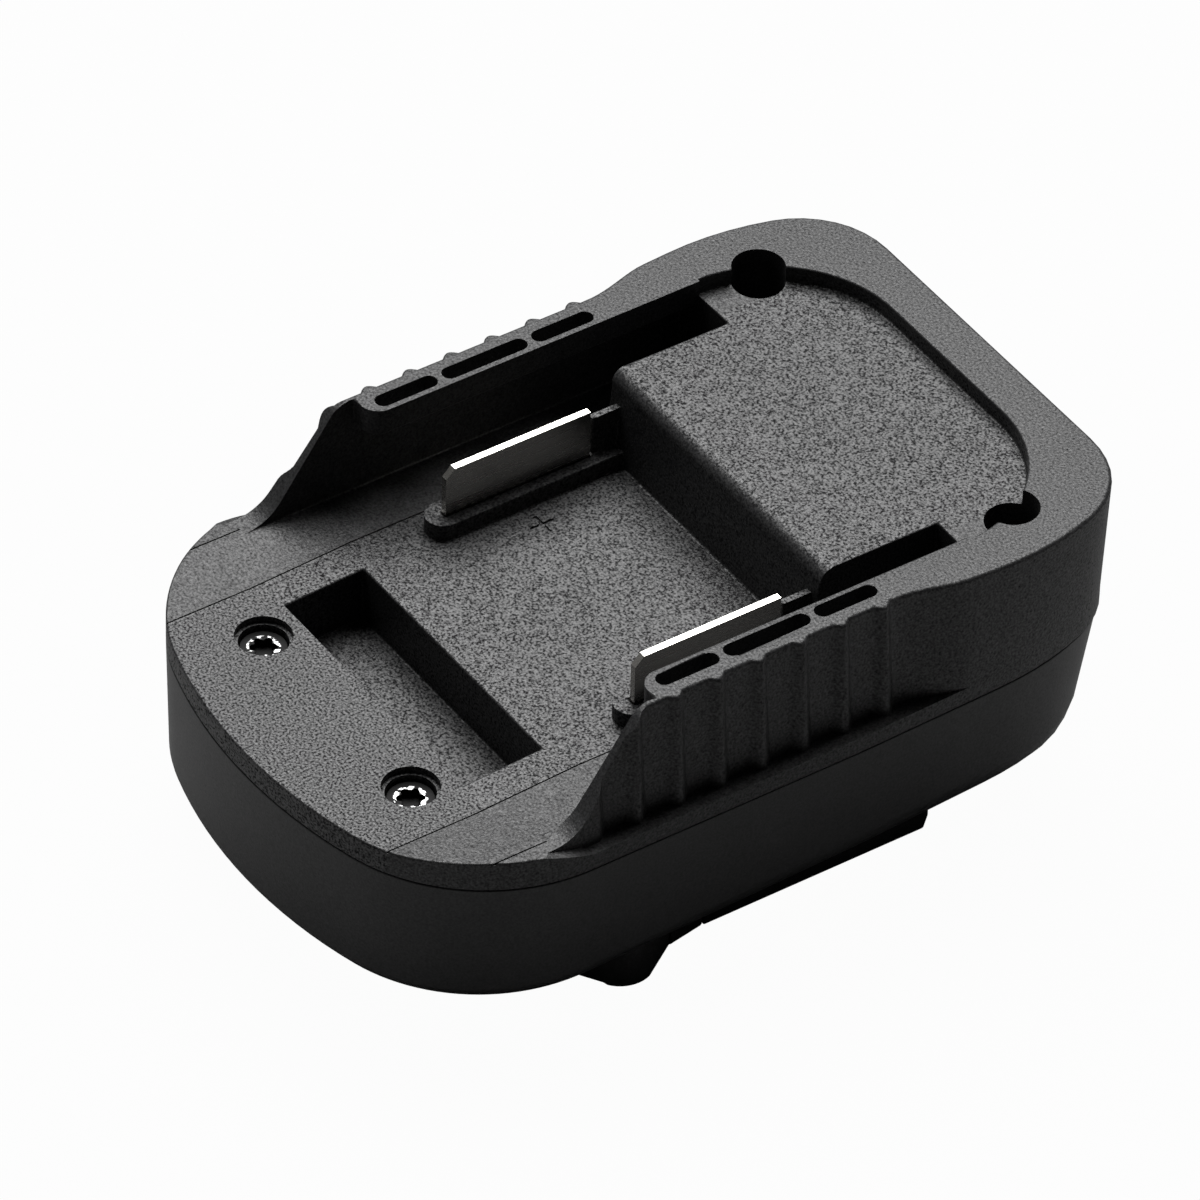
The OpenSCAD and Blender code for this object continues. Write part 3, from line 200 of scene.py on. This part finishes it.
def moulded(name, shade, roughness, grain, speckle, middle_speckle):
    """Spark-eroded moulding: mottled black, fine pits and a sheen that varies from grain to grain. The
    sheen varies by middle_speckle below the rim and between the fine lines, at |x| under MIDDLE_X."""
    material, tree, bsdf = shader(name)
    place = add(tree, "ShaderNodeTexCoord").outputs["Object"]
    fine = add(tree, "ShaderNodeTexNoise", Vector=place, Scale=1 / GRAIN_SIZE, Detail=2.0, Roughness=0.6)
    pits = add(tree, "ShaderNodeTexVoronoi", {"feature": "SMOOTH_F1"}, Vector=place, Scale=0.7 / GRAIN_SIZE)
    broad = add(tree, "ShaderNodeTexNoise", Vector=place, Scale=90.0, Detail=4.0)
    height = maths(tree, "ADD", fine.outputs["Fac"], pits.outputs["Distance"])
    bump = add(tree, "ShaderNodeBump", Strength=grain, Distance=GRAIN_DEPTH, Height=height)
    split = add(tree, "ShaderNodeSeparateXYZ", Vector=place).outputs
    reach = maths(tree, "ABSOLUTE", split["X"])
    above = add(tree, "ShaderNodeMapRange", Value=split["Z"], From_Min=RIM_Z - LINE_W, From_Max=RIM_Z,
                To_Max=2 * MIDDLE_X).outputs["Result"]
    swing = add(tree, "ShaderNodeMapRange", Value=maths(tree, "MAXIMUM", reach, above),
                From_Min=MIDDLE_X - LINE_W, From_Max=MIDDLE_X,
                To_Min=middle_speckle, To_Max=speckle).outputs["Result"]
    grains = add(tree, "ShaderNodeTexNoise", Vector=place, Scale=1 / SPECKLE_SIZE, Detail=1.0).outputs["Fac"]
    centred = maths(tree, "SUBTRACT", grains, NOISE_MIDDLE)
    sheen = maths(tree, "MULTIPLY_ADD", centred, swing, PLAIN_SHEEN, use_clamp=True)
    tree.links.new(sheen, bsdf.inputs["Specular IOR Level"])
    tree.links.new(ramp(tree, broad.outputs["Fac"], [(0.3, shade * 0.85), (0.7, shade * 1.15)]),
                   bsdf.inputs["Base Color"])
    tree.links.new(spread(tree, fine.outputs["Fac"], roughness - 0.1, roughness + 0.1),
                   bsdf.inputs["Roughness"])
    tree.links.new(bump.outputs["Normal"], bsdf.inputs["Normal"])
    return material


def worn_socket(name, node):
    """Black oxide with bright worn metal in a broken ring on the heads of a node's two screws, round
    their sockets. RING gives its strength at shares of the distance RING_SPAN from the axis."""
    points = np.array([v.co for v in nodes[node].data.vertices])
    points = points[points[:, 0] > 0]
    middle = (points.min(axis=0) + points.max(axis=0)) / 2
    material, tree, bsdf = shader(name)
    place = add(tree, "ShaderNodeTexCoord").outputs["Object"]
    split = add(tree, "ShaderNodeSeparateXYZ", Vector=place).outputs
    reach = maths(tree, "ABSOLUTE", split["X"])
    flat = add(tree, "ShaderNodeCombineXYZ", X=reach, Y=split["Y"]).outputs[0]
    arm = add(tree, "ShaderNodeVectorMath", {"operation": "DISTANCE"})
    tree.links.new(flat, arm.inputs[0])
    arm.inputs[1].default_value = (middle[0], middle[1], 0)
    ring = ramp(tree, spread(tree, arm.outputs["Value"], 0, 1 / RING_SPAN), RING)
    chips = add(tree, "ShaderNodeTexNoise", Vector=place, Scale=1400.0, Detail=2.0).outputs["Fac"]
    broken = ramp(tree, chips, [(0.46, 0), (0.54, 1)])
    top = maths(tree, "GREATER_THAN", split["Z"], points[:, 2].max() - HEAD_SKIN)
    worn = maths(tree, "MULTIPLY", maths(tree, "MULTIPLY", ring, broken), top)
    tree.links.new(spread(tree, worn, 0.006, 0.9), bsdf.inputs["Base Color"])
    tree.links.new(worn, bsdf.inputs["Metallic"])
    tree.links.new(spread(tree, worn, 0.6, 0.35), bsdf.inputs["Roughness"])
    tree.links.new(spread(tree, worn, 0.15, 0.5), bsdf.inputs["Specular IOR Level"])
    return material


def plated(name, tint, roughness):
    """Plated strip with faint drawing lines along its length."""
    material, tree, bsdf = shader(name)
    place = add(tree, "ShaderNodeTexCoord").outputs["Object"]
    along = add(tree, "ShaderNodeMapping", Vector=place, Scale=(900.0, 60.0, 4000.0)).outputs["Vector"]
    lines = add(tree, "ShaderNodeTexNoise", Vector=along, Scale=1.0, Detail=3.0).outputs["Fac"]
    tree.links.new(spread(tree, lines, roughness - 0.06, roughness + 0.08), bsdf.inputs["Roughness"])
    bump = add(tree, "ShaderNodeBump", Strength=0.15, Distance=0.02 * MM, Height=lines)
    tree.links.new(bump.outputs["Normal"], bsdf.inputs["Normal"])
    bsdf.inputs["Base Color"].default_value = (*tint, 1)
    bsdf.inputs["Metallic"].default_value = 1.0
    return material


def inner(name, tint, roughness, metallic=0.0):
    """Plain inner piece with a slight mottling."""
    material, tree, bsdf = shader(name)
    place = add(tree, "ShaderNodeTexCoord").outputs["Object"]
    patch = add(tree, "ShaderNodeTexNoise", Vector=place, Scale=700.0, Detail=3.0).outputs["Fac"]
    tree.links.new(spread(tree, patch, roughness - 0.06, roughness + 0.06), bsdf.inputs["Roughness"])
    tint_mix = add(tree, "ShaderNodeMix", {"data_type": "RGBA"})
    tree.links.new(patch, tint_mix.inputs[0])
    tint_mix.inputs[6].default_value = (*[c * 0.85 for c in tint], 1)
    tint_mix.inputs[7].default_value = (*[min(c * 1.15, 1) for c in tint], 1)
    tree.links.new(tint_mix.outputs[2], bsdf.inputs["Base Color"])
    bsdf.inputs["Metallic"].default_value = metallic
    return material


case_black = moulded("case_black", 0.022, 0.5, 0.35, 1.6, 3.2)
lower_black = moulded("lower_black", 0.02, 0.46, 0.08, 0.5, 0.5)
nickel = plated("plated_nickel", (0.80, 0.78, 0.73), 0.25)
screw_black = worn_socket("screw_black", "front_screws")
finish = {
    "contact_metal": nickel,
    "black_steel": screw_black,
    "zinc_steel": inner("zinc_steel", (0.6, 0.6, 0.62), 0.35, 1.0),
    "inner_plastic": inner("inner_plastic", (0.08, 0.08, 0.085), 0.5),
    "clip_brass": inner("clip_brass", (0.78, 0.6, 0.3), 0.3, 1.0),
    "board_laminate": inner("board_laminate", (0.05, 0.2, 0.1), 0.4),
    "chip_plastic": inner("chip_plastic", (0.03, 0.03, 0.03), 0.5),
    "capacitor_sleeve": inner("capacitor_sleeve", (0.06, 0.08, 0.2), 0.3),
    "red_lead": inner("red_lead", (0.5, 0.03, 0.02), 0.4),
    "black_lead": inner("black_lead", (0.03, 0.03, 0.03), 0.4),
    "spring_steel": inner("spring_steel", (0.7, 0.7, 0.72), 0.3, 1.0),
    "case_plastic": case_black,
}
for part in frame["record"]["subparts"]:
    nodes[part["node"]].data.materials.clear()
    nodes[part["node"]].data.materials.append(finish[part["material_slot"]])
upper.data.materials.append(case_black)
for piece in (lower, right_pad, left_pad):
    piece.data.materials.append(lower_black)


# Camera: the photograph's view, fitted to the case's straight edges

def stand(thing, side, top, away, place):
    """Puts an object in place with its x, y and z axes along three directions."""
    thing.matrix_world = Matrix([*zip(side, top, away, place), (0, 0, 0, 1)])


camera = bpy.data.objects.new("camera", bpy.data.cameras.new("camera"))
bpy.context.scene.collection.objects.link(camera)
AZIMUTH, ELEVATION, ROLL = math.radians(55.02), math.radians(40.93), math.radians(1.59)
AIM = np.array([-4.249, 0.322, 23.501]) * MM
DISTANCE = 1391.7 * MM
level = np.array([math.cos(AZIMUTH), math.sin(AZIMUTH), 0])
back = np.array([math.sin(AZIMUTH) * math.cos(ELEVATION), -math.cos(AZIMUTH) * math.cos(ELEVATION),
                 math.sin(ELEVATION)])
upright = np.cross(back, level)
right = level * math.cos(ROLL) + upright * math.sin(ROLL)
up = np.cross(back, right)
eye = AIM + back * DISTANCE
stand(camera, right, up, back, eye)
camera.data.sensor_width = 36
camera.data.sensor_fit = "HORIZONTAL"
camera.data.lens = 360.2
camera.data.clip_end = 20
bpy.context.scene.camera = camera


# Studio: a floor that the camera sees as white, a white surround for the camera, and soft boxes

def soft_box(name, place, aim, size, power):
    """A rectangular lamp at a place that faces a point."""
    lamp = bpy.data.lights.new(name, "AREA")
    lamp.shape = "RECTANGLE"
    lamp.size, lamp.size_y = size
    lamp.energy = power
    holder = bpy.data.objects.new(name, lamp)
    bpy.context.scene.collection.objects.link(holder)
    away = np.array(place, float) - np.array(aim, float)
    away /= np.linalg.norm(away)
    side = np.cross((0, 0, 1), away)
    side /= np.linalg.norm(side)
    top = np.cross(away, side)
    stand(holder, side, top, away, place)
    holder.visible_camera = False


def mix_into(tree, end, factor, first, second):
    """Feeds an output with a mix of two shaders, where a factor of 1 is all of the second."""
    pick = add(tree, "ShaderNodeMixShader")
    for socket, source in zip(pick.inputs, (factor, first.outputs[0], second.outputs[0])):
        tree.links.new(source, socket)
    tree.links.new(pick.outputs[0], tree.nodes[end].inputs["Surface"])


CENTRE = (0, 0, 0.03)
REACH, FLOOR_GLOW = 4, 0.97
soft_box("main_box", (-0.46, 0.25, 0.9), CENTRE, (0.9, 0.8), 18)
soft_box("left_box", (-0.3, -0.75, 0.25), CENTRE, (0.5, 0.5), 0.22)
soft_box("right_box", (0.45, 0.7, 0.25), CENTRE, (0.5, 0.5), 0.12)

world = bpy.data.worlds.new("surround")
bpy.context.scene.world = world
world.use_nodes = True
tree = world.node_tree
sky = tree.nodes["Background"]
ray = add(tree, "ShaderNodeLightPath")
white = add(tree, "ShaderNodeBackground", Color=(1, 1, 1, 1), Strength=1.0)
sky.inputs["Color"].default_value = (1, 1, 1, 1)
sky.inputs["Strength"].default_value = 0.018
mix_into(tree, "World Output", ray.outputs["Is Camera Ray"], sky, white)

floor_mesh = bpy.data.meshes.new("floor")
floor_mesh.from_pydata([(-REACH, -REACH, 0), (REACH, -REACH, 0), (REACH, REACH, 0), (-REACH, REACH, 0)],
                       [], [(0, 1, 2, 3)])
floor = bpy.data.objects.new("floor", floor_mesh)
bpy.context.scene.collection.objects.link(floor)
floor_paint, tree, bsdf = shader("floor_paint")
bsdf.inputs["Base Color"].default_value = (0.3, 0.3, 0.3, 1)
bsdf.inputs["Roughness"].default_value = 0.9
glow = add(tree, "ShaderNodeEmission", Color=(1, 1, 1, 1), Strength=1.0)
ray = add(tree, "ShaderNodeLightPath")
share = maths(tree, "MULTIPLY", ray.outputs["Is Camera Ray"], FLOOR_GLOW)
mix_into(tree, "Material Output", share, bsdf, glow)
floor_mesh.materials.append(floor_paint)

bpy.context.scene.view_settings.view_transform = "Standard"
